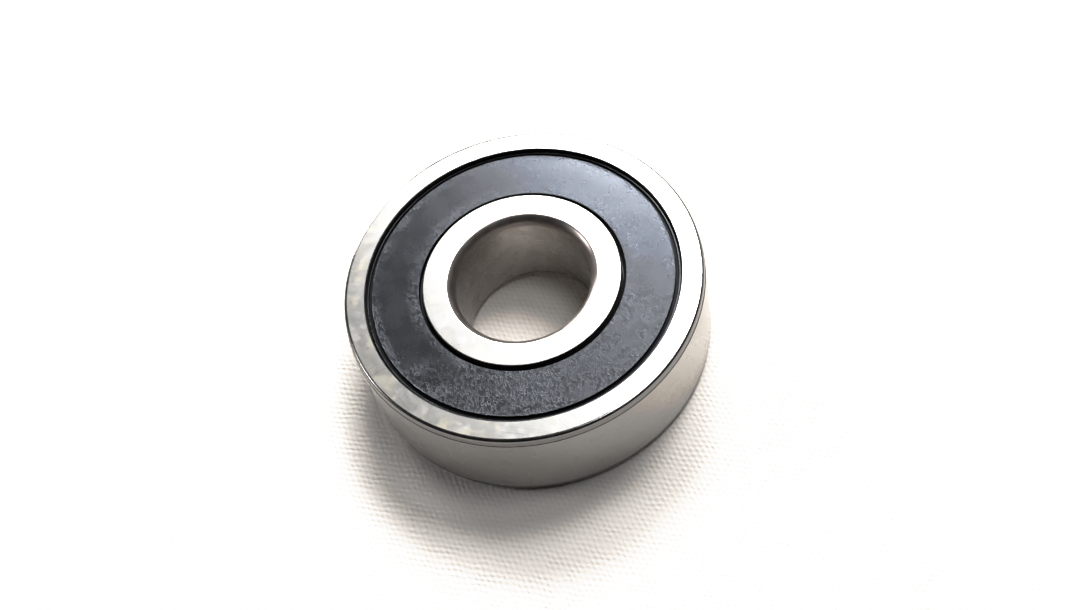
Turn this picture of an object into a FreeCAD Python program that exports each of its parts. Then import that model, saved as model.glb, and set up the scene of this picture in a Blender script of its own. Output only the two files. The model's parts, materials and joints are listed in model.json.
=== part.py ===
import FreeCAD, Part
import math
import os

from FreeCAD import Vector

# Sealed deep-groove ball bearing. Millimetres, origin at the bearing's centre, +Z along its axis.
# Every "+Z" height below has its mirror at -Z: the bearing is the same on both sides.

# Driving dimensions
BORE_DIAMETER = 9.0
OUTSIDE_DIAMETER = 24.0
WIDTH = 7.0
BALL_DIAMETER = 3.969
BALL_COUNT = 7

# Corners, turned longer along the axis than across it, and raceways
BORE_CORNER_WIDTH = 0.5
BORE_CORNER_LENGTH = 0.72
BORE_CORNER_KNEE = (0.1, 0.25)
BORE_CORNER_CURVE = 1.0
OUTSIDE_CORNER_WIDTH = 0.07
OUTSIDE_CORNER_LENGTH = 0.62
OUTSIDE_CORNER_CURVE = 0.23
EDGE_BREAK = 0.05
RACEWAY_CONFORMITY = 0.53
RACEWAY_CLEARANCE = 0.02
INNER_SHOULDER_RADIUS = 7.0
OUTER_SHOULDER_RADIUS = 9.55

# Seal seats: a land on the inner ring, a mouth with an undercut in the outer ring
SEAL_LAND_RADIUS = 6.6
SEAL_LAND_DEPTH = 1.15
SHOULDER_CHAMFER = 0.15
MOUTH_RADIUS = 10.5
MOUTH_DEPTH = 0.34
UNDERCUT_RADIUS = 10.88
UNDERCUT_TOP = 3.0
UNDERCUT_BOTTOM = 2.72
LEDGE_HEIGHT = 2.48
LEDGE_OUTER_RADIUS = 10.6

# Seals: a flat steel washer moulded into a rubber ring
SEAL_RECESS = 0.19
CORE_INNER_RADIUS = 7.3
CORE_OUTER_RADIUS = 9.9
CORE_THICKNESS = 0.3
CORE_BOTTOM = 2.6
LIP_CLEARANCE = 0.07
LIP_TOP = 2.84
LIP_THICKNESS = 0.16
LIP_SHOULDER_RADIUS = 6.86
LIP_SHOULDER_HEIGHT = 2.9
RIM_GROOVE_INNER_RADIUS = 10.08
RIM_GROOVE_OUTER_RADIUS = 10.29
RIM_GROOVE_DEPTH = 0.28
RIM_BEAD_RADIUS = 10.41
RIM_BEAD_HEIGHT = 3.2
SEAT_CLEARANCE = 0.05
MOULDED_EDGE = 0.04

# Cage: two pressed halves and a rivet in each web
CAGE_INNER_RADIUS = 7.3
CAGE_OUTER_RADIUS = 9.2
CAGE_SHEET = 0.3
POCKET_CLEARANCE = 0.08
RIVET_RADIUS = 0.35
RIVET_HEAD_RADIUS = 0.62
RIVET_HEAD_HEIGHT = 0.28

# Worked out from the above
BORE_RADIUS = BORE_DIAMETER / 2
OUTSIDE_RADIUS = OUTSIDE_DIAMETER / 2
HALF_WIDTH = WIDTH / 2
BALL_RADIUS = BALL_DIAMETER / 2
PITCH_RADIUS = (BORE_RADIUS + OUTSIDE_RADIUS) / 2
GROOVE_RADIUS = RACEWAY_CONFORMITY * BALL_DIAMETER
SEAL_FACE = HALF_WIDTH - SEAL_RECESS
CORE_TOP = CORE_BOTTOM + CORE_THICKNESS
PITCH_ANGLE = 360 / BALL_COUNT

CENTRE = Vector(0, 0, 0)
AXIS = Vector(0, 0, 1)


def rounded_corner(before, corner, after, radius):
    """The tangent arc of the given radius that replaces one corner of an outline."""
    back = (before - corner).normalize()
    ahead = (after - corner).normalize()
    half_angle = back.getAngle(ahead) / 2
    reach = radius / math.tan(half_angle)
    sagitta = radius / math.sin(half_angle) - radius
    middle = corner + (back + ahead).normalize() * sagitta
    return Part.Arc(corner + back * reach, middle, corner + ahead * reach).toShape()


def turned(outline):
    """The solid of revolution about Z of a closed outline of (radius, height, rounding) corners."""
    points = [Vector(radius, 0, height) for radius, height, _ in outline]
    arcs = {}
    for i, (_, _, rounding) in enumerate(outline):
        if rounding:
            after = points[(i + 1) % len(points)]
            arcs[i] = rounded_corner(points[i - 1], points[i], after, rounding)
    edges = []
    for i in range(len(points)):
        j = (i + 1) % len(points)
        if i in arcs:
            edges.append(arcs[i])
        start = arcs[i].lastVertex().Point if i in arcs else points[i]
        end = arcs[j].firstVertex().Point if j in arcs else points[j]
        edges.append(Part.makeLine(start, end))
    return Part.Face(Part.Wire(edges)).revolve(CENTRE, AXIS, 360)


def both_sides(upper_outline):
    """An outline completed by its mirror image below Z = 0."""
    mirrored = [(radius, -height, rounding) for radius, height, rounding in reversed(upper_outline)]
    return upper_outline + mirrored


def flipped(shape):
    """A copy turned over about X, for the lower piece of a matching pair."""
    copy = shape.copy()
    copy.rotate(CENTRE, Vector(1, 0, 0), 180)
    return copy


def at_pitch(shape, angle):
    """A copy moved out to the pitch circle, at an angle about Z."""
    copy = shape.copy()
    copy.translate(Vector(PITCH_RADIUS, 0, 0))
    copy.rotate(CENTRE, AXIS, angle)
    return copy


def tube(inner_radius, outer_radius, height):
    return Part.makeCylinder(outer_radius, height).cut(Part.makeCylinder(inner_radius, height))


def outer_ring():
    """The outer ring: rounded outside corners, seal mouths and undercuts, and the outer raceway."""
    blank = turned(both_sides([
        (OUTSIDE_RADIUS, HALF_WIDTH - OUTSIDE_CORNER_LENGTH, 0),
        (OUTSIDE_RADIUS - OUTSIDE_CORNER_WIDTH, HALF_WIDTH, OUTSIDE_CORNER_CURVE),
        (MOUTH_RADIUS, HALF_WIDTH, EDGE_BREAK),
        (MOUTH_RADIUS, HALF_WIDTH - MOUTH_DEPTH, 0),
        (UNDERCUT_RADIUS, UNDERCUT_TOP, 0),
        (UNDERCUT_RADIUS, UNDERCUT_BOTTOM, 0),
        (LEDGE_OUTER_RADIUS, LEDGE_HEIGHT, 0),
        (OUTER_SHOULDER_RADIUS, LEDGE_HEIGHT, EDGE_BREAK),
    ]))
    raceway_radius = PITCH_RADIUS + BALL_RADIUS + RACEWAY_CLEARANCE
    return blank.cut(Part.makeTorus(raceway_radius - GROOVE_RADIUS, GROOVE_RADIUS))


def inner_ring():
    """The inner ring: rounded bore corners, a land for each seal lip, and the inner raceway."""
    knee_width, knee_depth = BORE_CORNER_KNEE
    land_end = HALF_WIDTH - SEAL_LAND_DEPTH
    blank = turned(both_sides([
        (BORE_RADIUS, HALF_WIDTH - BORE_CORNER_LENGTH, 0),
        (BORE_RADIUS + knee_width, HALF_WIDTH - knee_depth, BORE_CORNER_CURVE),
        (BORE_RADIUS + BORE_CORNER_WIDTH, HALF_WIDTH, 0),
        (SEAL_LAND_RADIUS, HALF_WIDTH, EDGE_BREAK),
        (SEAL_LAND_RADIUS, land_end, 0),
        (INNER_SHOULDER_RADIUS - SHOULDER_CHAMFER, land_end, 0),
        (INNER_SHOULDER_RADIUS, land_end - SHOULDER_CHAMFER, 0),
    ]))
    raceway_radius = PITCH_RADIUS - BALL_RADIUS - RACEWAY_CLEARANCE
    return blank.cut(Part.makeTorus(raceway_radius + GROOVE_RADIUS, GROOVE_RADIUS))


def cage_half():
    """The upper cage half: a ribbon pressed up into a round pocket over each ball, with rivet holes."""
    pocket_radius = BALL_RADIUS + POCKET_CLEARANCE
    band = tube(CAGE_INNER_RADIUS, CAGE_OUTER_RADIUS, HALF_WIDTH)
    half = tube(CAGE_INNER_RADIUS, CAGE_OUTER_RADIUS, CAGE_SHEET)
    for i in range(BALL_COUNT):
        dome = at_pitch(Part.makeSphere(pocket_radius + CAGE_SHEET), i * PITCH_ANGLE)
        half = half.fuse(dome.common(band))
    for i in range(BALL_COUNT):
        half = half.cut(at_pitch(Part.makeSphere(pocket_radius), i * PITCH_ANGLE))
        hole = Part.makeCylinder(RIVET_RADIUS, CAGE_SHEET)
        half = half.cut(at_pitch(hole, (i + 0.5) * PITCH_ANGLE))
    return half.removeSplitter()


def rivet():
    """One cage rivet: a shank through both halves and a domed head at each end."""
    head_curve = (RIVET_HEAD_RADIUS ** 2 + RIVET_HEAD_HEIGHT ** 2) / (2 * RIVET_HEAD_HEIGHT)
    dome_centre = Vector(0, 0, CAGE_SHEET + RIVET_HEAD_HEIGHT - head_curve)
    above_sheet = Part.makeCylinder(RIVET_HEAD_RADIUS, RIVET_HEAD_HEIGHT, Vector(0, 0, CAGE_SHEET))
    head = Part.makeSphere(head_curve, dome_centre).common(above_sheet)
    shank = Part.makeCylinder(RIVET_RADIUS, 2 * CAGE_SHEET, Vector(0, 0, -CAGE_SHEET))
    return shank.fuse([head, flipped(head)]).removeSplitter()


def seal_core():
    """The flat steel washer that stiffens the upper seal."""
    core = tube(CORE_INNER_RADIUS, CORE_OUTER_RADIUS, CORE_THICKNESS)
    core.translate(Vector(0, 0, CORE_BOTTOM))
    return core


def seal_rubber():
    """The upper seal's rubber: lip, flat face, rim groove and bead, and the edge in the undercut."""
    lip_radius = SEAL_LAND_RADIUS + LIP_CLEARANCE
    groove_bottom = SEAL_FACE - RIM_GROOVE_DEPTH
    snap_radius = UNDERCUT_RADIUS - SEAT_CLEARANCE
    snap_top = UNDERCUT_TOP - SEAT_CLEARANCE
    seat = LEDGE_HEIGHT + SEAT_CLEARANCE
    wrap_radius = CORE_OUTER_RADIUS - CORE_THICKNESS
    return turned([
        (lip_radius, LIP_TOP - LIP_THICKNESS, 0),
        (lip_radius, LIP_TOP, 0),
        (LIP_SHOULDER_RADIUS, LIP_SHOULDER_HEIGHT, 0),
        (LIP_SHOULDER_RADIUS, SEAL_FACE, MOULDED_EDGE),
        (RIM_GROOVE_INNER_RADIUS, SEAL_FACE, MOULDED_EDGE),
        (RIM_GROOVE_INNER_RADIUS, groove_bottom, 0),
        (RIM_GROOVE_OUTER_RADIUS, groove_bottom, 0),
        (RIM_GROOVE_OUTER_RADIUS, RIM_BEAD_HEIGHT, MOULDED_EDGE),
        (RIM_BEAD_RADIUS, RIM_BEAD_HEIGHT, MOULDED_EDGE),
        (RIM_BEAD_RADIUS, snap_top, 0),
        (snap_radius, snap_top, 0),
        (snap_radius, UNDERCUT_BOTTOM + SEAT_CLEARANCE, 0),
        (LEDGE_OUTER_RADIUS - SEAT_CLEARANCE, seat, 0),
        (wrap_radius, seat, 0),
        (wrap_radius, CORE_BOTTOM, 0),
        (CORE_OUTER_RADIUS, CORE_BOTTOM, 0),
        (CORE_OUTER_RADIUS, CORE_TOP, 0),
        (CORE_INNER_RADIUS, CORE_TOP, 0),
        (CORE_INNER_RADIUS, CORE_BOTTOM, 0),
        (LIP_SHOULDER_RADIUS, CORE_BOTTOM, 0),
    ])


def all_nodes():
    """Every separate piece of the bearing, by node name."""
    upper_cage, upper_core, upper_rubber = cage_half(), seal_core(), seal_rubber()
    nodes = {
        "outer_ring": outer_ring(),
        "inner_ring": inner_ring(),
        "cage_half_upper": upper_cage,
        "cage_half_lower": flipped(upper_cage),
        "seal_core_upper": upper_core,
        "seal_core_lower": flipped(upper_core),
        "seal_rubber_upper": upper_rubber,
        "seal_rubber_lower": flipped(upper_rubber),
    }
    for i in range(BALL_COUNT):
        nodes[f"ball_{i + 1}"] = at_pitch(Part.makeSphere(BALL_RADIUS), i * PITCH_ANGLE)
        nodes[f"cage_rivet_{i + 1}"] = at_pitch(rivet(), (i + 0.5) * PITCH_ANGLE)
    return nodes


os.makedirs("parts", exist_ok=True)
for name, shape in all_nodes().items():
    shape.exportStep(f"parts/{name}.step")
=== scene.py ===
import json
import math

import bmesh
import bpy
from mathutils import Matrix, Vector, noise


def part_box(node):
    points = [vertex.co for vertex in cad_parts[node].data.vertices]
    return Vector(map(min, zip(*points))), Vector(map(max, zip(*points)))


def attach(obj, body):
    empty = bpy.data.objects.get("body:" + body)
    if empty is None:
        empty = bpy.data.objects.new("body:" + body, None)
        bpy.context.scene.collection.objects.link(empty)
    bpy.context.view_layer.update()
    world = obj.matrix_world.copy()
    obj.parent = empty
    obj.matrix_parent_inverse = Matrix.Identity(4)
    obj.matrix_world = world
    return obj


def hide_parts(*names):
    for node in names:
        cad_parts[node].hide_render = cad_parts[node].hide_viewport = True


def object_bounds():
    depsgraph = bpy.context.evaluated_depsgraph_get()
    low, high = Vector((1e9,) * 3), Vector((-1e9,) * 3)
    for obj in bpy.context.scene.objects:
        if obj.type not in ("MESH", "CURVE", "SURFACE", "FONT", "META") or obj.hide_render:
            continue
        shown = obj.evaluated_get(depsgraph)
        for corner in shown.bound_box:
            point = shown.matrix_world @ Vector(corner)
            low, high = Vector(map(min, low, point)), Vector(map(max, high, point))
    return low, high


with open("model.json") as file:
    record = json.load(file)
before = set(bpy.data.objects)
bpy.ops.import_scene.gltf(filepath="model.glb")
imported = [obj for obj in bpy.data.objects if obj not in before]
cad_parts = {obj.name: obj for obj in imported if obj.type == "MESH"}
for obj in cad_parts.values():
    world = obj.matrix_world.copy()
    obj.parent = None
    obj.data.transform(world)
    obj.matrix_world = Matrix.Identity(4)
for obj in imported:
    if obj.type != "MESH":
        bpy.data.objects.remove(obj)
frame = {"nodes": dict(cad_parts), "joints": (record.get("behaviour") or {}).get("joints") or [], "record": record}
cad_low, cad_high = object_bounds()

# A sealed ball bearing lying flat. Metres; origin at the bearing's centre, +Z along its axis.
# Outlines are half-sections: (radius, height) corners that are turned about Z.

MM = 0.001
TURN_STEPS = 288
ARC_STEP = math.radians(9)
SHARP_ANGLE = math.radians(32)
# How far from a rounded corner a straight run has the point that keeps its shading flat
SUPPORT = 0.012 * MM
WELD_DISTANCE = 0.0001 * MM

# Sizes that the CAD model holds
mounts = {mount["name"]: mount for mount in frame["record"]["mounts"]}
ball_joint = next(joint for joint in frame["joints"] if joint["name"] == "ball_1_roll")
BALL_COUNT = sum(name.startswith("ball_") for name in frame["nodes"])
OUTSIDE_RADIUS = cad_high.x
HALF_WIDTH = cad_high.z
BORE_RADIUS = mounts["bore"]["dims"]["r_mm"] * MM
PITCH_RADIUS = ball_joint["pos_m"][0]
BALL_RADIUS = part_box("ball_1")[1].z
SHOULDER_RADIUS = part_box("inner_ring")[1].x
CAGE_OUTER_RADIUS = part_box("cage_half_upper")[1].x
CAGE_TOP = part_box("cage_half_upper")[1].z
CORE_LOW, CORE_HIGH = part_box("seal_core_upper")
RUBBER_LOW, RUBBER_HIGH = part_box("seal_rubber_upper")

# Rings
BORE_CORNER_WIDTH = 0.5 * MM
BORE_CORNER_LENGTH = 0.72 * MM
BORE_CORNER_KNEE = (0.1 * MM, 0.25 * MM)
BORE_CORNER_CURVE = 1.0 * MM
BORE_FACE_CURVE = 0.2 * MM
OUTSIDE_CORNER_WIDTH = 0.07 * MM
OUTSIDE_CORNER_LENGTH = 0.62 * MM
OUTSIDE_CORNER_CURVE = 0.23 * MM
GRINDING_STEP = 0.03 * MM
EDGE_BREAK = 0.05 * MM
RACEWAY_CONFORMITY = 0.53
RACEWAY_CLEARANCE = 0.02 * MM
GROOVE_RADIUS = 2 * RACEWAY_CONFORMITY * BALL_RADIUS
OUTER_SHOULDER_RADIUS = 9.55 * MM
SEAL_LAND_RADIUS = 6.6 * MM
SEAL_LAND_END = 2.35 * MM
SHOULDER_CHAMFER = 0.15 * MM
MOUTH_RADIUS = 10.5 * MM
MOUTH_END = 3.16 * MM
UNDERCUT_RADIUS = 10.88 * MM
UNDERCUT_TOP = 3.0 * MM
UNDERCUT_BOTTOM = 2.72 * MM
LEDGE_HEIGHT = 2.48 * MM
LEDGE_OUTER_RADIUS = 10.6 * MM

# Seals
SEAL_FACE = RUBBER_HIGH.z
LIP_RADIUS = 6.67 * MM
LIP_TOP = 2.84 * MM
LIP_THICKNESS = 0.16 * MM
LIP_SHOULDER_RADIUS = 6.86 * MM
LIP_SHOULDER_HEIGHT = 2.9 * MM
RIM_GROOVE_INNER_RADIUS = 10.08 * MM
RIM_GROOVE_OUTER_RADIUS = 10.29 * MM
RIM_GROOVE_DEPTH = 0.28 * MM
RIM_BEAD_RADIUS = 10.41 * MM
RIM_BEAD_HEIGHT = 3.2 * MM
SEAT_CLEARANCE = 0.05 * MM
MOULDED_EDGE = 0.04 * MM
CORE_INNER_RADIUS = 7.3 * MM
SEAL_FACE_ROWS = 22
SEAL_WAVE = 0.006 * MM
SEAL_WAVE_LENGTH = 1.7 * MM
SEAL_FACE_TOLERANCE = 0.001 * MM

# Cage
CAGE_INNER_RADIUS = 7.3 * MM
CAGE_SHEET = 0.3 * MM
CAGE_BEND = 0.3 * MM
CAGE_ROWS = 8
RIVET_RADIUS = 0.35 * MM
RIVET_HEAD_RADIUS = 0.62 * MM
RIVET_HEAD_HEIGHT = 0.28 * MM
RIVET_TURN_STEPS = 48
RIVET_HEAD_STEPS = 10
HOLE_TURN_STEPS = 32


# ---------------------------------------------------------------- mesh tools

def finished(name, mesh, materials):
    """An object from a mesh, shaded smooth except over edges sharper than SHARP_ANGLE."""
    mesh.shade_smooth()
    mesh.set_sharp_from_angle(angle=SHARP_ANGLE)
    for material in materials:
        mesh.materials.append(material)
    piece = bpy.data.objects.new(name, mesh)
    bpy.context.scene.collection.objects.link(piece)
    return piece


def arc_even(centre, radius, start, end, steps):
    """Points on an arc in even steps, from angle start to angle end, both included."""
    angles = [start + (end - start) * i / steps for i in range(steps + 1)]
    return [(centre[0] + radius * math.cos(a), centre[1] + radius * math.sin(a)) for a in angles]


def arc_points(centre, radius, start, end):
    """Points on an arc in as many steps as keep each one within ARC_STEP, and at least two."""
    steps = max(2, math.ceil(abs(end - start) / ARC_STEP))
    return arc_even(centre, radius, start, end, steps)


def corner_arc(before, corner, after, radius):
    """The tangent arc that rounds one corner of an outline."""
    corner, before, after = Vector(corner), Vector(before), Vector(after)
    back, ahead = (before - corner).normalized(), (after - corner).normalized()
    half_angle = back.angle(ahead) / 2
    centre = corner + (back + ahead).normalized() * (radius / math.sin(half_angle))
    reach = radius / math.tan(half_angle)
    start, end = corner + back * reach - centre, corner + ahead * reach - centre
    first = math.atan2(start.y, start.x)
    turn = (math.atan2(end.y, end.x) - first + math.pi) % (2 * math.pi) - math.pi
    return arc_points(centre, radius, first, first + turn)


def outline_points(corners):
    """Points and a finish per point from (radius, height, rounding, finish) corners. The finish is
    that of the run that starts at the corner, and a rounded corner's arc has that of the run before."""
    places = [corner[:2] for corner in corners]
    runs = []
    for i, (_, _, rounding, finish) in enumerate(corners):
        if rounding:
            arc = corner_arc(places[i - 1], places[i], places[(i + 1) % len(places)], rounding)
            runs.append((arc, finish))
        else:
            runs.append(([places[i]], finish))
    points, finishes = [], []
    for i, (arc, finish) in enumerate(runs):
        points += arc
        finishes += [corners[i - 1][3]] * (len(arc) - 1) + [finish]
        following = runs[(i + 1) % len(runs)][0]
        start, end = Vector(arc[-1]), Vector(following[0])
        along = end - start
        if along.length > 4 * SUPPORT:
            step = along.normalized() * SUPPORT
            near = [start + step] if len(arc) > 1 else []
            far = [end - step] if len(following) > 1 else []
            points += [tuple(p) for p in near + far]
            finishes += [finish] * len(near + far)
    return points, finishes


def turned(name, corners, materials, steps=TURN_STEPS):
    """A solid of revolution about Z. materials maps each finish in the outline to a material."""
    points, finishes = outline_points(corners)
    order = list(dict.fromkeys(finishes))
    count = len(points)
    verts = []
    for i in range(steps):
        angle = 2 * math.pi * i / steps
        verts += [(r * math.cos(angle), r * math.sin(angle), z) for r, z in points]
    faces = []
    slots = []
    for i in range(steps):
        ahead = (i + 1) % steps
        for j in range(count):
            k = (j + 1) % count
            faces.append((i * count + j, ahead * count + j, ahead * count + k, i * count + k))
            slots.append(order.index(finishes[j]))
    mesh = bpy.data.meshes.new(name)
    mesh.from_pydata(verts, [], faces)
    mesh.polygons.foreach_set("material_index", slots)
    close_mesh(mesh)
    return finished(name, mesh, [materials[finish] for finish in order])


def close_mesh(mesh):
    """Welds points that meet, such as those on the axis, and turns every face outwards."""
    bm = bmesh.new()
    bm.from_mesh(mesh)
    bmesh.ops.remove_doubles(bm, verts=bm.verts, dist=WELD_DISTANCE)
    bmesh.ops.recalc_face_normals(bm, faces=bm.faces)
    bm.to_mesh(mesh)
    bm.free()


def flip(piece):
    """Turns a piece's mesh over about X, for the lower one of a pair."""
    for vertex in piece.data.vertices:
        vertex.co.y = -vertex.co.y
        vertex.co.z = -vertex.co.z


def move_to_pitch(piece, angle):
    """Moves a piece's mesh out to the pitch circle, at an angle about Z."""
    for vertex in piece.data.vertices:
        x, y = vertex.co.x + PITCH_RADIUS, vertex.co.y
        vertex.co.x = x * math.cos(angle) - y * math.sin(angle)
        vertex.co.y = x * math.sin(angle) + y * math.cos(angle)


def place(piece, body, node, slot):
    """Rides a piece on its CAD body, in place of the CAD node; slot is not used."""
    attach(piece, body)
    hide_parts(node)


# ---------------------------------------------------------------- materials

class Finish:
    """A Principled material, with short calls for the nodes that shape it."""

    def __init__(self, name, **constants):
        self.material = bpy.data.materials.new(name)
        self.material.use_nodes = True
        self.tree = self.material.node_tree
        self.shader = self.tree.nodes["Principled BSDF"]
        for socket, value in constants.items():
            self.shader.inputs[socket.replace("_", " ")].default_value = value
        self.place = self.add("ShaderNodeTexCoord").outputs["Object"]

    def add(self, kind, inputs=(), **settings):
        """A new node. Each input is a value, or another node's output to link."""
        node = self.tree.nodes.new(kind)
        for name, value in settings.items():
            setattr(node, name, value)
        for name, value in dict(inputs).items():
            if isinstance(value, bpy.types.NodeSocket):
                self.tree.links.new(value, node.inputs[name])
            else:
                node.inputs[name].default_value = value
        return node

    def math(self, operation, a, b=0.0, c=0.0):
        return self.add("ShaderNodeMath", {0: a, 1: b, 2: c}, operation=operation).outputs[0]

    def axes(self):
        return self.add("ShaderNodeSeparateXYZ", {0: self.place}).outputs

    def radius(self):
        """The distance from the bearing's axis."""
        x, y, _ = self.axes()
        squares = self.math("ADD", self.math("MULTIPLY", x, x), self.math("MULTIPLY", y, y))
        return self.math("SQRT", squares)

    def noise(self, size, detail=3.0, roughness=0.55, stretch=(1, 1, 1), shift=(0, 0, 0)):
        """Noise from 0 to 1 with features about size metres across."""
        scale = tuple(s / size for s in stretch)
        mapped = self.add("ShaderNodeMapping", {"Vector": self.place, "Scale": scale, "Location": shift})
        inputs = {"Vector": mapped.outputs[0], "Scale": 1.0, "Detail": detail, "Roughness": roughness}
        return self.add("ShaderNodeTexNoise", inputs).outputs["Fac"]

    def band(self, value, low, high, to_low=0.0, to_high=1.0):
        """Maps low..high smoothly to to_low..to_high, and holds the ends."""
        inputs = {"Value": value, "From Min": low, "From Max": high, "To Min": to_low, "To Max": to_high}
        return self.add("ShaderNodeMapRange", inputs, interpolation_type="SMOOTHSTEP").outputs[0]

    def mix(self, factor, a, b):
        node = self.add("ShaderNodeMix", data_type="RGBA")
        for socket, value in ((node.inputs[0], factor), (node.inputs[6], a), (node.inputs[7], b)):
            if isinstance(value, bpy.types.NodeSocket):
                self.tree.links.new(value, socket)
            else:
                socket.default_value = value
        return node.outputs[2]

    def bump(self, height, depth, strength=1.0):
        """A bump whose full height is depth metres."""
        node = self.add("ShaderNodeBump", {"Height": height, "Distance": depth, "Strength": strength})
        self.tree.links.new(node.outputs[0], self.shader.inputs["Normal"])

    def scratches(self, size, turn):
        """Sparse straight scratches at one angle, as the thin contours of a long stretched noise."""
        inputs = {"Vector": self.place, "Angle": math.radians(turn)}
        turned_place = self.add("ShaderNodeVectorRotate", inputs, rotation_type="Z_AXIS")
        scale = (1 / size, 0.02 / size, 1 / size)
        mapped = self.add("ShaderNodeMapping", {"Vector": turned_place.outputs[0], "Scale": scale})
        inputs = {"Vector": mapped.outputs[0], "Scale": 1.0, "Detail": 1.0}
        streaks = self.add("ShaderNodeTexNoise", inputs)
        return self.band(streaks.outputs["Fac"], 0.68, 0.78)

    def turned_grain(self):
        """Points the grain of a turned or ground surface round the bearing's axis."""
        tangent = self.add("ShaderNodeTangent", direction_type="RADIAL", axis="Z")
        self.tree.links.new(tangent.outputs[0], self.shader.inputs["Tangent"])

    def drive(self, socket, value):
        """Links a node's output to one of the shader's inputs."""
        self.tree.links.new(value, self.shader.inputs[socket])


def grey(level, warmth=0.0):
    """An RGBA colour from a grey level, a little yellower with warmth."""
    return (level * (1 + warmth), level, level * (1 - 1.6 * warmth), 1.0)


def ground_face_steel():
    """A ring's flat face: fine ground steel with faint smudges, stains and stray scratches."""
    finish = Finish("ground_face_steel", Metallic=1.0)
    stain = finish.band(finish.noise(1.9 * MM, detail=3, shift=(1, 6, 0)), 0.44, 0.64)
    smear = finish.band(finish.noise(0.6 * MM, detail=3, roughness=0.6, shift=(3, 1, 0)), 0.42, 0.7)
    hue = finish.noise(1.3 * MM, detail=2, shift=(8, 2, 5))
    dirt = finish.math("ADD", finish.math("MULTIPLY", stain, 0.55), finish.math("MULTIPLY", smear, 0.45))
    tint = finish.mix(finish.band(hue, 0.42, 0.6), (0.54, 0.525, 0.51, 1), (0.57, 0.54, 0.45, 1))
    marks = finish.scratches(0.14 * MM, 31.0)
    for turn in (117.0, 74.0, 158.0):
        marks = finish.math("MAXIMUM", marks, finish.scratches(0.16 * MM, turn))
    clean = finish.mix(dirt, (0.7, 0.695, 0.68, 1), tint)
    finish.drive("Base Color", finish.mix(finish.math("MULTIPLY", marks, 0.25), clean, grey(0.3)))
    finish.drive("Roughness", finish.band(dirt, 0.0, 1.0, 0.28, 0.34))
    swell = finish.noise(0.9 * MM, detail=1, shift=(2, 2, 7))
    finish.bump(finish.math("ADD", swell, finish.math("MULTIPLY", marks, 0.05)), 0.004 * MM)
    return finish.material


def ground_wall_steel():
    """The outside wall: ground round the axis, so its fine lines spread each reflection along it."""
    finish = Finish("ground_wall_steel", Metallic=1.0, Anisotropic=0.5, Anisotropic_Rotation=0.25)
    finish.turned_grain()
    smudge = finish.noise(2.2 * MM, detail=2, roughness=0.4, shift=(5, 5, 2))
    lines = finish.noise(0.12 * MM, detail=2, stretch=(0.06, 0.06, 1), shift=(1, 2, 3))
    tone = finish.math("ADD", finish.math("MULTIPLY", smudge, 0.7), finish.math("MULTIPLY", lines, 0.3))
    finish.drive("Base Color", finish.mix(tone, (0.55, 0.535, 0.52, 1), (0.49, 0.475, 0.455, 1)))
    finish.bump(lines, 0.0002 * MM)
    finish.drive("Roughness", finish.band(smudge, 0.0, 1.0, 0.25, 0.3))
    return finish.material


def honed_bore_steel():
    """The bore: honed, a shade browner, with its grain round it."""
    finish = Finish("honed_bore_steel", Metallic=1.0, Anisotropic=0.9, Anisotropic_Rotation=0.25)
    finish.turned_grain()
    smudge = finish.band(finish.noise(1.3 * MM, detail=4, shift=(2, 8, 3)), 0.4, 0.75)
    finish.drive("Base Color", finish.mix(smudge, (0.45, 0.425, 0.4, 1), (0.38, 0.35, 0.325, 1)))
    finish.drive("Roughness", finish.band(smudge, 0.0, 1.0, 0.27, 0.31))
    return finish.material


def outside_corner_steel():
    """The outer ring's corners: turned and hardened, not ground, so darker than the faces."""
    finish = Finish("outside_corner_steel", Metallic=1.0, Anisotropic=0.3, Anisotropic_Rotation=0.25)
    finish.turned_grain()
    tone = finish.noise(0.7 * MM, detail=3)
    finish.drive("Base Color", finish.mix(tone, (0.27, 0.263, 0.258, 1), (0.33, 0.323, 0.316, 1)))
    finish.drive("Roughness", finish.band(tone, 0.3, 0.7, 0.2, 0.26))
    return finish.material


def bore_corner_steel():
    """The bore's corners: turned coarser, and browned by hardening."""
    finish = Finish("bore_corner_steel", Metallic=1.0, Anisotropic=0.3, Anisotropic_Rotation=0.25)
    finish.turned_grain()
    tone = finish.noise(0.6 * MM, detail=3, shift=(4, 4, 4))
    finish.drive("Base Color", finish.mix(tone, (0.43, 0.385, 0.365, 1), (0.5, 0.465, 0.445, 1)))
    finish.drive("Roughness", finish.band(tone, 0.3, 0.7, 0.33, 0.39))
    return finish.material


def turned_seat_steel():
    """Seal lands and undercuts: turned and left dark by hardening."""
    finish = Finish("turned_seat_steel", Metallic=1.0, Anisotropic=0.4, Anisotropic_Rotation=0.25)
    finish.turned_grain()
    tone = finish.noise(0.8 * MM, detail=4)
    finish.drive("Base Color", finish.mix(tone, grey(0.12, 0.02), grey(0.2, 0.03)))
    finish.drive("Roughness", finish.band(tone, 0.3, 0.7, 0.3, 0.4))
    return finish.material


def lapped_raceway_steel():
    """Raceways: superfinished, nearly a mirror."""
    finish = Finish("lapped_raceway_steel", Metallic=1.0)
    tone = finish.noise(1.5 * MM, detail=3)
    finish.drive("Base Color", finish.mix(tone, grey(0.62), grey(0.68)))
    finish.drive("Roughness", finish.band(tone, 0.3, 0.7, 0.08, 0.14))
    finish.bump(finish.noise(0.04 * MM, detail=2), 0.0001 * MM)
    return finish.material


def ball_steel():
    """Balls: lapped to a mirror, with a faint film of grease."""
    finish = Finish("ball_steel", Metallic=1.0)
    film = finish.band(finish.noise(0.9 * MM, detail=4), 0.45, 0.7)
    finish.drive("Base Color", finish.mix(film, grey(0.72), grey(0.62, 0.02)))
    finish.drive("Roughness", finish.band(film, 0.0, 1.0, 0.05, 0.16))
    finish.bump(film, 0.0005 * MM)
    return finish.material


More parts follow.
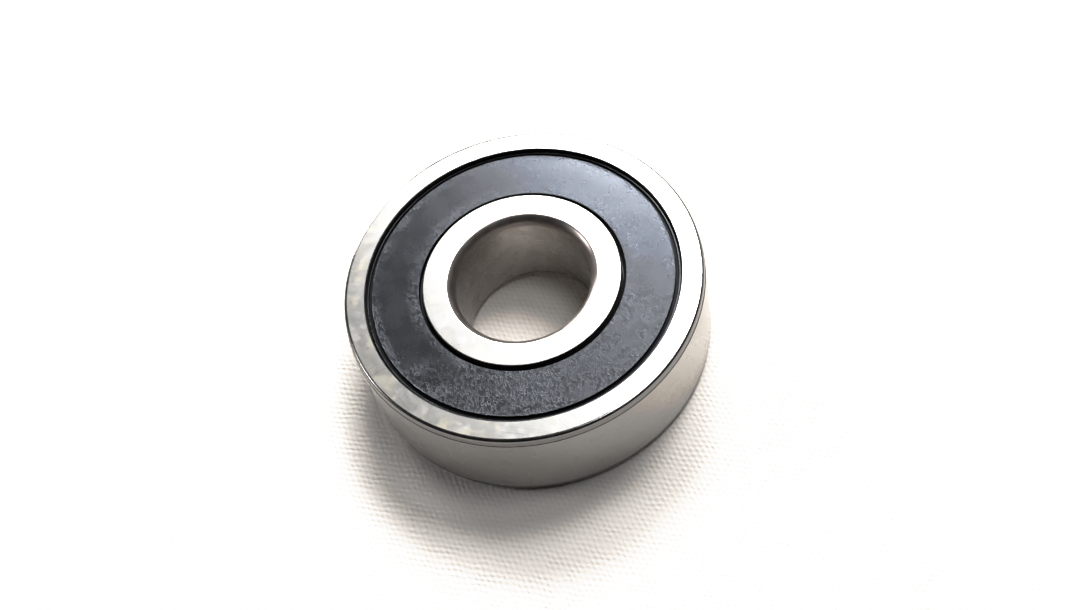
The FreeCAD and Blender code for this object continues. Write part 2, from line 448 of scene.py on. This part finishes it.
def cage_steel():
    """Cage and rivets: pressed mild steel, dull, with drawing marks."""
    finish = Finish("cage_steel", Metallic=1.0)
    tone = finish.noise(0.7 * MM, detail=5)
    finish.drive("Base Color", finish.mix(tone, grey(0.42, 0.03), grey(0.58, 0.02)))
    finish.drive("Roughness", finish.band(tone, 0.3, 0.7, 0.26, 0.42))
    finish.bump(finish.noise(0.08 * MM, detail=3, stretch=(1, 0.15, 1)), 0.0015 * MM)
    return finish.material


def core_steel():
    """The sheet steel inside the seals: cold rolled, dull."""
    finish = Finish("core_steel", Metallic=1.0)
    tone = finish.noise(1.1 * MM, detail=4, stretch=(1, 0.3, 1))
    finish.drive("Base Color", finish.mix(tone, grey(0.4, 0.01), grey(0.5, 0.02)))
    finish.drive("Roughness", finish.band(tone, 0.3, 0.7, 0.34, 0.46))
    finish.bump(finish.noise(0.06 * MM, detail=2, stretch=(1, 0.05, 1)), 0.001 * MM)
    return finish.material


def seal_rubber():
    """The seals' open face: moulded nitrile rubber, blue-black and satin. Dried grease lies on it as a
    thin film, most of it by the two edges and on one side, with fine ridges and small dark pits."""
    finish = Finish("seal_rubber", Specular_IOR_Level=1.0, Specular_Tint=(0.85, 0.9, 1.0, 1.0))
    radius = finish.radius()
    _, y, _ = finish.axes()
    inner_edge = finish.band(radius, 7.0 * MM, 8.0 * MM, 0.75, 0.1)
    outer_edge = finish.band(radius, 9.3 * MM, 9.9 * MM, 0.1, 0.5)
    greasy_side = finish.band(y, -7.5 * MM, -1.0 * MM, 0.9, 0.0)
    patches = finish.band(finish.noise(2.4 * MM, detail=3, shift=(4, 4, 0)), 0.4, 0.62, 0.35, 1.0)
    where = finish.math("MAXIMUM", finish.math("MAXIMUM", inner_edge, outer_edge), greasy_side)
    where = finish.math("MULTIPLY", where, patches)
    cloud = finish.noise(0.9 * MM, detail=6, roughness=0.62, shift=(0, 3, 6))
    crumbs = finish.noise(0.22 * MM, detail=4, roughness=0.65, stretch=(1, 0.55, 1), shift=(9, 3, 0))
    film = finish.math("MULTIPLY", where, finish.band(cloud, 0.36, 0.66))
    fold = finish.math("ABSOLUTE", finish.math("SUBTRACT", crumbs, 0.52))
    ridges = finish.math("MULTIPLY", finish.band(fold, 0.0, 0.04, 1.0, 0.0), where)
    pits = finish.math("MULTIPLY", finish.band(crumbs, 0.57, 0.63), where)
    coated = finish.mix(film, (0.005, 0.0055, 0.007, 1), (0.012, 0.0135, 0.018, 1))
    finish.drive("Base Color", finish.mix(pits, coated, (0.002, 0.002, 0.003, 1)))
    worn = finish.noise(1.6 * MM, detail=4, shift=(7, 7, 1))
    satin = finish.band(worn, 0.3, 0.7, 0.25, 0.29)
    finish.drive("Roughness", finish.math("ADD", satin, finish.math("MULTIPLY", film, 0.05)))
    skin = finish.noise(0.05 * MM, detail=3)
    height = finish.math("MULTIPLY", skin, 0.05)
    height = finish.math("ADD", height, finish.math("MULTIPLY", ridges, 0.7))
    height = finish.math("SUBTRACT", height, finish.math("MULTIPLY", pits, 1.2))
    finish.bump(finish.math("ADD", height, finish.math("MULTIPLY", film, 0.4)), 0.007 * MM)
    return finish.material


def groove_rubber():
    """The seals' grooves, lips and undersides: the same rubber, never wiped, so dull and darker."""
    finish = Finish("groove_rubber", Specular_IOR_Level=0.2)
    tone = finish.noise(0.3 * MM, detail=4)
    finish.drive("Base Color", finish.mix(tone, (0.003, 0.003, 0.004, 1), (0.007, 0.007, 0.009, 1)))
    finish.drive("Roughness", finish.band(tone, 0.3, 0.7, 0.5, 0.62))
    finish.bump(finish.noise(0.06 * MM, detail=3), 0.002 * MM)
    return finish.material


def pale_cloth_with_painted_shade():
    """The floor: off-white cloth in a fine slanting weave, a little uneven, with painted shade in the low parts of
    its weave and nap.
    """
    finish = Finish("pale_cloth_with_painted_shade", Roughness=0.9, Specular_IOR_Level=0.1)
    x, y, _ = finish.axes()
    drift = finish.math("MULTIPLY", finish.noise(1.1 * MM, detail=3), CLOTH_DRIFT)
    threads = []
    for pitch, lean in CLOTH_THREADS:
        x_waves = 2 * math.pi * math.cos(lean) / pitch
        y_waves = 2 * math.pi * math.sin(lean) / pitch
        along = finish.math("MULTIPLY", finish.math("ADD", x, drift), x_waves)
        across = finish.math("MULTIPLY", finish.math("ADD", y, drift), y_waves)
        threads.append(finish.math("SINE", finish.math("ADD", along, across)))
    nap = finish.noise(0.13 * MM, detail=4, roughness=0.75)
    patchy = finish.band(finish.noise(0.9 * MM, detail=3, shift=(3, 0, 0)), 0.35, 0.65, 0.08, 0.22)
    weave = finish.math("MULTIPLY", finish.math("ADD", threads[0], threads[1]), patchy)
    height = finish.math("ADD", finish.math("ADD", weave, 0.15), finish.math("MULTIPLY", nap, 0.7))
    # Painted shade: the colour follows the bump's height, darker and warmer where the weave and nap are low
    finish.drive("Base Color", finish.mix(height, (0.82, 0.775, 0.73, 1), (0.97, 0.945, 0.915, 1)))
    finish.bump(height, 0.06 * MM)
    return finish.material


# ---------------------------------------------------------------- pieces

def raceway_points(centre_radius, shoulder_radius, outward):
    """Corners along a raceway's arc, from its upper shoulder down to its lower one."""
    reach = abs(shoulder_radius - centre_radius)
    half_angle = math.acos(reach / GROOVE_RADIUS)
    sign = 1 if outward else -1
    points = arc_points((0, 0), GROOVE_RADIUS, half_angle, -half_angle)
    return [(centre_radius + sign * r, z, 0, "raceway") for r, z in points]


def outer_ring(steels):
    """The outer ring: its raceway, and a mouth and an undercut at each side for a seal."""
    corner_start = HALF_WIDTH - OUTSIDE_CORNER_LENGTH
    upper = [
        (OUTSIDE_RADIUS, corner_start, 0, "corner"),
        (OUTSIDE_RADIUS - GRINDING_STEP, corner_start + GRINDING_STEP, 0, "corner"),
        (OUTSIDE_RADIUS - OUTSIDE_CORNER_WIDTH, HALF_WIDTH, OUTSIDE_CORNER_CURVE, "face"),
        (MOUTH_RADIUS + EDGE_BREAK, HALF_WIDTH, 0, "seat"),
        (MOUTH_RADIUS, HALF_WIDTH - EDGE_BREAK, 0, "seat"),
        (MOUTH_RADIUS, MOUTH_END, 0, "seat"),
        (UNDERCUT_RADIUS, UNDERCUT_TOP, 0, "seat"),
        (UNDERCUT_RADIUS, UNDERCUT_BOTTOM, 0, "seat"),
        (LEDGE_OUTER_RADIUS, LEDGE_HEIGHT, 0, "seat"),
        (OUTER_SHOULDER_RADIUS, LEDGE_HEIGHT, EDGE_BREAK, "seat"),
    ]
    raceway_radius = PITCH_RADIUS + BALL_RADIUS + RACEWAY_CLEARANCE - GROOVE_RADIUS
    middle = raceway_points(raceway_radius, OUTER_SHOULDER_RADIUS, outward=True)
    corners = ring_outline(upper, middle, "wall")
    return turned("outer_ring_body", corners, steels)


def inner_ring(steels):
    """The inner ring: its raceway, and a land at each side for a seal's lip."""
    knee_width, knee_depth = BORE_CORNER_KNEE
    upper = [
        (BORE_RADIUS, HALF_WIDTH - BORE_CORNER_LENGTH, 0, "bore corner"),
        (BORE_RADIUS + knee_width, HALF_WIDTH - knee_depth, BORE_CORNER_CURVE, "bore corner"),
        (BORE_RADIUS + BORE_CORNER_WIDTH, HALF_WIDTH, BORE_FACE_CURVE, "face"),
        (SEAL_LAND_RADIUS - EDGE_BREAK, HALF_WIDTH, 0, "seat"),
        (SEAL_LAND_RADIUS, HALF_WIDTH - EDGE_BREAK, 0, "seat"),
        (SEAL_LAND_RADIUS, SEAL_LAND_END, 0, "seat"),
        (SHOULDER_RADIUS - SHOULDER_CHAMFER, SEAL_LAND_END, 0, "seat"),
        (SHOULDER_RADIUS, SEAL_LAND_END - SHOULDER_CHAMFER, 0, "seat"),
    ]
    raceway_radius = PITCH_RADIUS - BALL_RADIUS - RACEWAY_CLEARANCE + GROOVE_RADIUS
    middle = raceway_points(raceway_radius, SHOULDER_RADIUS, outward=False)
    corners = ring_outline(upper, middle, "bore")
    return turned("inner_ring_body", corners, steels)


def ring_outline(upper, middle, last_finish):
    """A ring's whole outline: upper corners, the raceway, those corners mirrored, and the plain wall."""
    lower = []
    for i in range(len(upper) - 1, -1, -1):
        radius, height, rounding, _ = upper[i]
        finish = upper[i - 1][3] if i else last_finish
        lower.append((radius, -height, rounding, finish))
    middle[-1] = middle[-1][:3] + ("seat",)
    return upper + middle + lower


def ring_steels():
    """The material for each finish that the rings' outlines name."""
    return {
        "face": ground_face_steel(),
        "wall": ground_wall_steel(),
        "bore": honed_bore_steel(),
        "corner": outside_corner_steel(),
        "bore corner": bore_corner_steel(),
        "seat": turned_seat_steel(),
        "raceway": lapped_raceway_steel(),
    }


def seal_ring(name, materials):
    """The upper seal's rubber, with a face that is very slightly uneven."""
    snap_radius = UNDERCUT_RADIUS - SEAT_CLEARANCE
    snap_top = UNDERCUT_TOP - SEAT_CLEARANCE
    groove_bottom = SEAL_FACE - RIM_GROOVE_DEPTH
    seat = LEDGE_HEIGHT + SEAT_CLEARANCE
    core_outer, core_top, core_bottom = CORE_HIGH.x, CORE_HIGH.z, CORE_LOW.z
    wrap_radius = core_outer - (core_top - core_bottom)
    face_start = LIP_SHOULDER_RADIUS + 2 * MOULDED_EDGE
    face_step = (RIM_GROOVE_INNER_RADIUS - 2 * MOULDED_EDGE - face_start) / SEAL_FACE_ROWS
    face_rows = [(face_start + i * face_step, SEAL_FACE, 0, "face") for i in range(SEAL_FACE_ROWS + 1)]
    corners = [
        (LIP_RADIUS, LIP_TOP - LIP_THICKNESS, 0, "groove"),
        (LIP_RADIUS, LIP_TOP, 0, "groove"),
        (LIP_SHOULDER_RADIUS, LIP_SHOULDER_HEIGHT, 0, "groove"),
        (LIP_SHOULDER_RADIUS, SEAL_FACE, MOULDED_EDGE, "face"),
        *face_rows,
        (RIM_GROOVE_INNER_RADIUS, SEAL_FACE, MOULDED_EDGE, "groove"),
        (RIM_GROOVE_INNER_RADIUS, groove_bottom, 0, "groove"),
        (RIM_GROOVE_OUTER_RADIUS, groove_bottom, 0, "groove"),
        (RIM_GROOVE_OUTER_RADIUS, RIM_BEAD_HEIGHT, MOULDED_EDGE, "face"),
        (RIM_BEAD_RADIUS, RIM_BEAD_HEIGHT, MOULDED_EDGE, "groove"),
        (RIM_BEAD_RADIUS, snap_top, 0, "groove"),
        (snap_radius, snap_top, 0, "groove"),
        (snap_radius, UNDERCUT_BOTTOM + SEAT_CLEARANCE, 0, "groove"),
        (LEDGE_OUTER_RADIUS - SEAT_CLEARANCE, seat, 0, "groove"),
        (wrap_radius, seat, 0, "groove"),
        (wrap_radius, core_bottom, 0, "groove"),
        (core_outer, core_bottom, 0, "groove"),
        (core_outer, core_top, 0, "groove"),
        (CORE_INNER_RADIUS, core_top, 0, "groove"),
        (CORE_INNER_RADIUS, core_bottom, 0, "groove"),
        (LIP_SHOULDER_RADIUS, core_bottom, 0, "groove"),
    ]
    piece = turned(name, corners, materials)
    for vertex in piece.data.vertices:
        radius = math.hypot(vertex.co.x, vertex.co.y)
        on_face = vertex.co.z > SEAL_FACE - SEAL_FACE_TOLERANCE
        if on_face and radius < RIM_GROOVE_INNER_RADIUS - MOULDED_EDGE:
            vertex.co.z -= SEAL_WAVE * (0.5 + 0.5 * noise.noise(vertex.co / SEAL_WAVE_LENGTH))
    return piece


def seal_core(name, material):
    """The steel washer inside a seal, with stamped edges."""
    core_outer, core_top, core_bottom = CORE_HIGH.x, CORE_HIGH.z, CORE_LOW.z
    stamped = 0.05 * MM
    corners = [
        (CORE_INNER_RADIUS, core_bottom, 0, "sheet"),
        (CORE_INNER_RADIUS, core_top, stamped, "sheet"),
        (core_outer, core_top, stamped, "sheet"),
        (core_outer, core_bottom, 0, "sheet"),
    ]
    return turned(name, corners, {"sheet": material})


def ball(name, material):
    """A ball as a cube of even squares pushed out to the sphere, so that no poles show."""
    squares = 20
    bm = bmesh.new()
    bmesh.ops.create_cube(bm, size=2.0)
    bmesh.ops.subdivide_edges(bm, edges=bm.edges, cuts=squares - 1, use_grid_fill=True)
    for vertex in bm.verts:
        spread = Vector([math.tan(c * math.pi / 4) for c in vertex.co])
        vertex.co = spread.normalized() * BALL_RADIUS
    mesh = bpy.data.meshes.new(name)
    bm.to_mesh(mesh)
    bm.free()
    return finished(name, mesh, [material])


def pressed_profile(radius, on_top):
    """The sheet's (angle, height) line over half a pocket and half a web, at one radius of the cage.
    Along the circle, a pocket is an arc in (chord, height), then a bend down on to the flat web."""
    sheet = CAGE_SHEET
    pocket = CAGE_TOP - sheet
    outer = math.sqrt((pocket + sheet) ** 2 - (radius - PITCH_RADIUS) ** 2)
    bend_height = sheet + CAGE_BEND
    bend_place = math.sqrt((outer + CAGE_BEND) ** 2 - bend_height ** 2)
    lean = math.asin(bend_height / (outer + CAGE_BEND))
    dome = outer if on_top else outer - sheet
    bend = CAGE_BEND if on_top else CAGE_BEND + sheet
    steps = 12
    line = arc_even((0, 0), dome, math.pi / 2, lean, steps)
    line += arc_even((bend_place, bend_height), bend, math.pi + lean, 1.5 * math.pi, steps // 2)[1:]
    spread = 2 * math.sqrt(radius * PITCH_RADIUS)
    angles = [(2 * math.asin(chord / spread), height) for chord, height in line]
    last_angle, last_height = angles[-1]
    web_end = math.pi / BALL_COUNT
    web_steps = 3
    for i in range(1, web_steps + 1):
        angles.append((last_angle + (web_end - last_angle) * i / web_steps, last_height))
    return angles


def cage_half(name, material):
    """The upper cage half: one pressed ribbon of even thickness, with a hole for each rivet."""
    radii = [CAGE_INNER_RADIUS + (CAGE_OUTER_RADIUS - CAGE_INNER_RADIUS) * i / CAGE_ROWS
             for i in range(CAGE_ROWS + 1)]
    pitch = 2 * math.pi / BALL_COUNT
    loops = []
    for on_top in (True, False):
        for radius in radii if on_top else reversed(radii):
            half = pressed_profile(radius, on_top)
            loop = []
            for i in range(BALL_COUNT):
                loop += [(i * pitch - angle, height) for angle, height in reversed(half[1:-1])]
                loop += [(i * pitch + angle, height) for angle, height in half]
            loops.append([(radius * math.cos(a), radius * math.sin(a), z) for a, z in loop])
    count = len(loops[0])
    faces = []
    for i in range(len(loops)):
        for j in range(count):
            ahead, across = (j + 1) % count, (i + 1) % len(loops)
            faces.append((i * count + j, i * count + ahead, across * count + ahead, across * count + j))
    mesh = bpy.data.meshes.new(name)
    mesh.from_pydata([place for loop in loops for place in loop], [], faces)
    close_mesh(mesh)
    piece = finished(name, mesh, [material])
    pierce_rivet_holes(piece)
    return piece


def pierce_rivet_holes(piece):
    """Cuts a round hole for each rivet through a cage half."""
    cutter_corners = [
        (0, -CAGE_SHEET, 0, "hole"),
        (RIVET_RADIUS, -CAGE_SHEET, 0, "hole"),
        (RIVET_RADIUS, 2 * CAGE_SHEET, 0, "hole"),
        (0, 2 * CAGE_SHEET, 0, "hole"),
    ]
    for i in range(BALL_COUNT):
        cutter = turned("rivet_hole", cutter_corners, {"hole": piece.data.materials[0]}, HOLE_TURN_STEPS)
        move_to_pitch(cutter, (i + 0.5) * 2 * math.pi / BALL_COUNT)
        cut = piece.modifiers.new("hole", "BOOLEAN")
        cut.operation = "DIFFERENCE"
        cut.object = cutter
        with_hole = bpy.data.meshes.new_from_object(
            piece.evaluated_get(bpy.context.evaluated_depsgraph_get()))
        piece.modifiers.clear()
        piece.data = with_hole
        bpy.data.objects.remove(cutter)


def rivet(name, material):
    """A cage rivet: a shank with a domed head at each end."""
    dome = (RIVET_HEAD_RADIUS ** 2 + RIVET_HEAD_HEIGHT ** 2) / (2 * RIVET_HEAD_HEIGHT)
    centre = CAGE_SHEET + RIVET_HEAD_HEIGHT - dome
    rim = math.asin((CAGE_SHEET - centre) / dome)
    head_arc = arc_even((0, centre), dome, math.pi / 2, rim, RIVET_HEAD_STEPS)
    head = [(r, z, 0, "rivet") for r, z in head_arc]
    upper = head + [(RIVET_RADIUS, CAGE_SHEET, 0, "rivet")]
    lower = [(r, -z, rounding, finish) for r, z, rounding, finish in reversed(upper)]
    return turned(name, upper + lower, {"rivet": material}, RIVET_TURN_STEPS)


def build_bearing():
    """Every piece of the bearing, each in place of its CAD node."""
    rubber = {"face": seal_rubber(), "groove": groove_rubber()}
    washer, sheet, polished = core_steel(), cage_steel(), ball_steel()
    steels = ring_steels()
    place(outer_ring(steels), "outer_ring", "outer_ring", "ring_steel")
    place(inner_ring(steels), "inner_ring", "inner_ring", "ring_steel")
    for side in ("upper", "lower"):
        seal = seal_ring(f"seal_rubber_{side}_body", rubber)
        core = seal_core(f"seal_core_{side}_body", washer)
        ribbon = cage_half(f"cage_half_{side}_body", sheet)
        pieces = [
            (seal, "outer_ring", f"seal_rubber_{side}", "seal_rubber"),
            (core, "outer_ring", f"seal_core_{side}", "core_steel"),
            (ribbon, "cage", f"cage_half_{side}", "cage_steel"),
        ]
        for piece, body, node, slot in pieces:
            if side == "lower":
                flip(piece)
            place(piece, body, node, slot)
    for i in range(BALL_COUNT):
        rolling = ball(f"ball_{i + 1}_body", polished)
        move_to_pitch(rolling, i * 2 * math.pi / BALL_COUNT)
        place(rolling, f"ball_{i + 1}", f"ball_{i + 1}", "ball_steel")
        pin = rivet(f"cage_rivet_{i + 1}_body", sheet)
        move_to_pitch(pin, (i + 0.5) * 2 * math.pi / BALL_COUNT)
        place(pin, "cage", f"cage_rivet_{i + 1}", "cage_steel")


# ---------------------------------------------------------------- camera, floor and light

# The camera's angles, distance, shift and lens were fitted to the main view
CAMERA_ELEVATION = math.radians(57.24)
CAMERA_ROLL = math.radians(-16.63)
CAMERA_DISTANCE = 8.166 * OUTSIDE_RADIUS
CAMERA_SIDESTEP = 0.069 * OUTSIDE_RADIUS
CAMERA_LENS = 48.28
CAMERA_SENSOR = 36.0
CAMERA_CLIP_START = 0.001

FLOOR_SIZE = 1.2
CLOTH_DRIFT = 0.3 * MM
CLOTH_THREADS = ((0.34 * MM, math.radians(8)), (0.37 * MM, math.radians(64)))

# One wide window of soft panels behind and to the right, and two dim ones that fill the left and the
# top: (name, azimuth and elevation in degrees, radiance). Their directions and strengths began as a
# solver's fit to the main view's tones, and were then scaled and rounded.
PANELS = (
    ("window_top", 40, 58, 16),
    ("window_middle", 76, 44, 17),
    ("window_edge", 58, 44, 9),
    ("window_low", 112, 14, 15),
    ("left_fill", 160, 30, 6),
    ("top_fill", 0, 75, 7),
)
PANEL_DISTANCE = 0.5
PANEL_SIZE = 0.16
ROOM_LEVEL = 0.012
# Scene light and the light shown for it, as fractions of white
HIGHLIGHT_LIFT = ((0.3, 0.3), (0.45, 0.6), (0.6, 0.93), (0.7, 0.995))


def add_camera():
    """The camera, rolled about its own line of sight as a hand-held one is."""
    back = Vector((0, -math.cos(CAMERA_ELEVATION), math.sin(CAMERA_ELEVATION)))
    level = Vector((1, 0, 0))
    raised = back.cross(level)
    right = math.cos(CAMERA_ROLL) * level + math.sin(CAMERA_ROLL) * raised
    up = back.cross(right)
    data = bpy.data.cameras.new("camera")
    data.lens = CAMERA_LENS
    data.sensor_width = CAMERA_SENSOR
    data.clip_start = CAMERA_CLIP_START
    camera = bpy.data.objects.new("camera", data)
    turn = Matrix((right, up, back)).transposed()
    camera.rotation_euler = turn.to_euler()
    camera.location = back * CAMERA_DISTANCE + right * CAMERA_SIDESTEP
    bpy.context.scene.collection.objects.link(camera)
    bpy.context.scene.camera = camera


def add_floor():
    """A square of cloth under the bearing."""
    half = FLOOR_SIZE / 2
    mesh = bpy.data.meshes.new("floor")
    corners = [(-half, -half), (half, -half), (half, half), (-half, half)]
    mesh.from_pydata([(x, y, -HALF_WIDTH) for x, y in corners], [], [(0, 1, 2, 3)])
    mesh.materials.append(pale_cloth_with_painted_shade())
    floor = bpy.data.objects.new("floor", mesh)
    bpy.context.scene.collection.objects.link(floor)


def add_lights():
    """Soft round panels on a dome round the bearing, in an almost dark room."""
    area = math.pi * (PANEL_SIZE / 2) ** 2
    for name, azimuth, elevation, radiance in PANELS:
        turn, rise = math.radians(azimuth), math.radians(elevation)
        level = math.cos(rise)
        direction = Vector((math.cos(turn) * level, math.sin(turn) * level, math.sin(rise)))
        data = bpy.data.lights.new(name, "AREA")
        data.shape = "DISK"
        data.size = PANEL_SIZE
        data.energy = math.pi * area * radiance
        panel = bpy.data.objects.new(name, data)
        panel.location = direction * PANEL_DISTANCE
        panel.rotation_euler = direction.to_track_quat("Z", "Y").to_euler()
        bpy.context.scene.collection.objects.link(panel)
    world = bpy.data.worlds.new("room")
    world.use_nodes = True
    world.node_tree.nodes["Background"].inputs["Color"].default_value = (1.0, 1.0, 1.0, 1.0)
    world.node_tree.nodes["Background"].inputs["Strength"].default_value = ROOM_LEVEL
    bpy.context.scene.world = world


def develop():
    """Lifts the highlights towards white, as a camera's own processing does."""
    settings = bpy.context.scene.view_settings
    settings.view_transform = "Standard"
    settings.use_curve_mapping = True
    all_channels = 3
    tones = settings.curve_mapping.curves[all_channels]
    for level, shown in HIGHLIGHT_LIFT:
        tones.points.new(level, shown)
    for point in tones.points:
        point.handle_type = "VECTOR"
    settings.curve_mapping.update()


build_bearing()
add_camera()
add_floor()
add_lights()
develop()
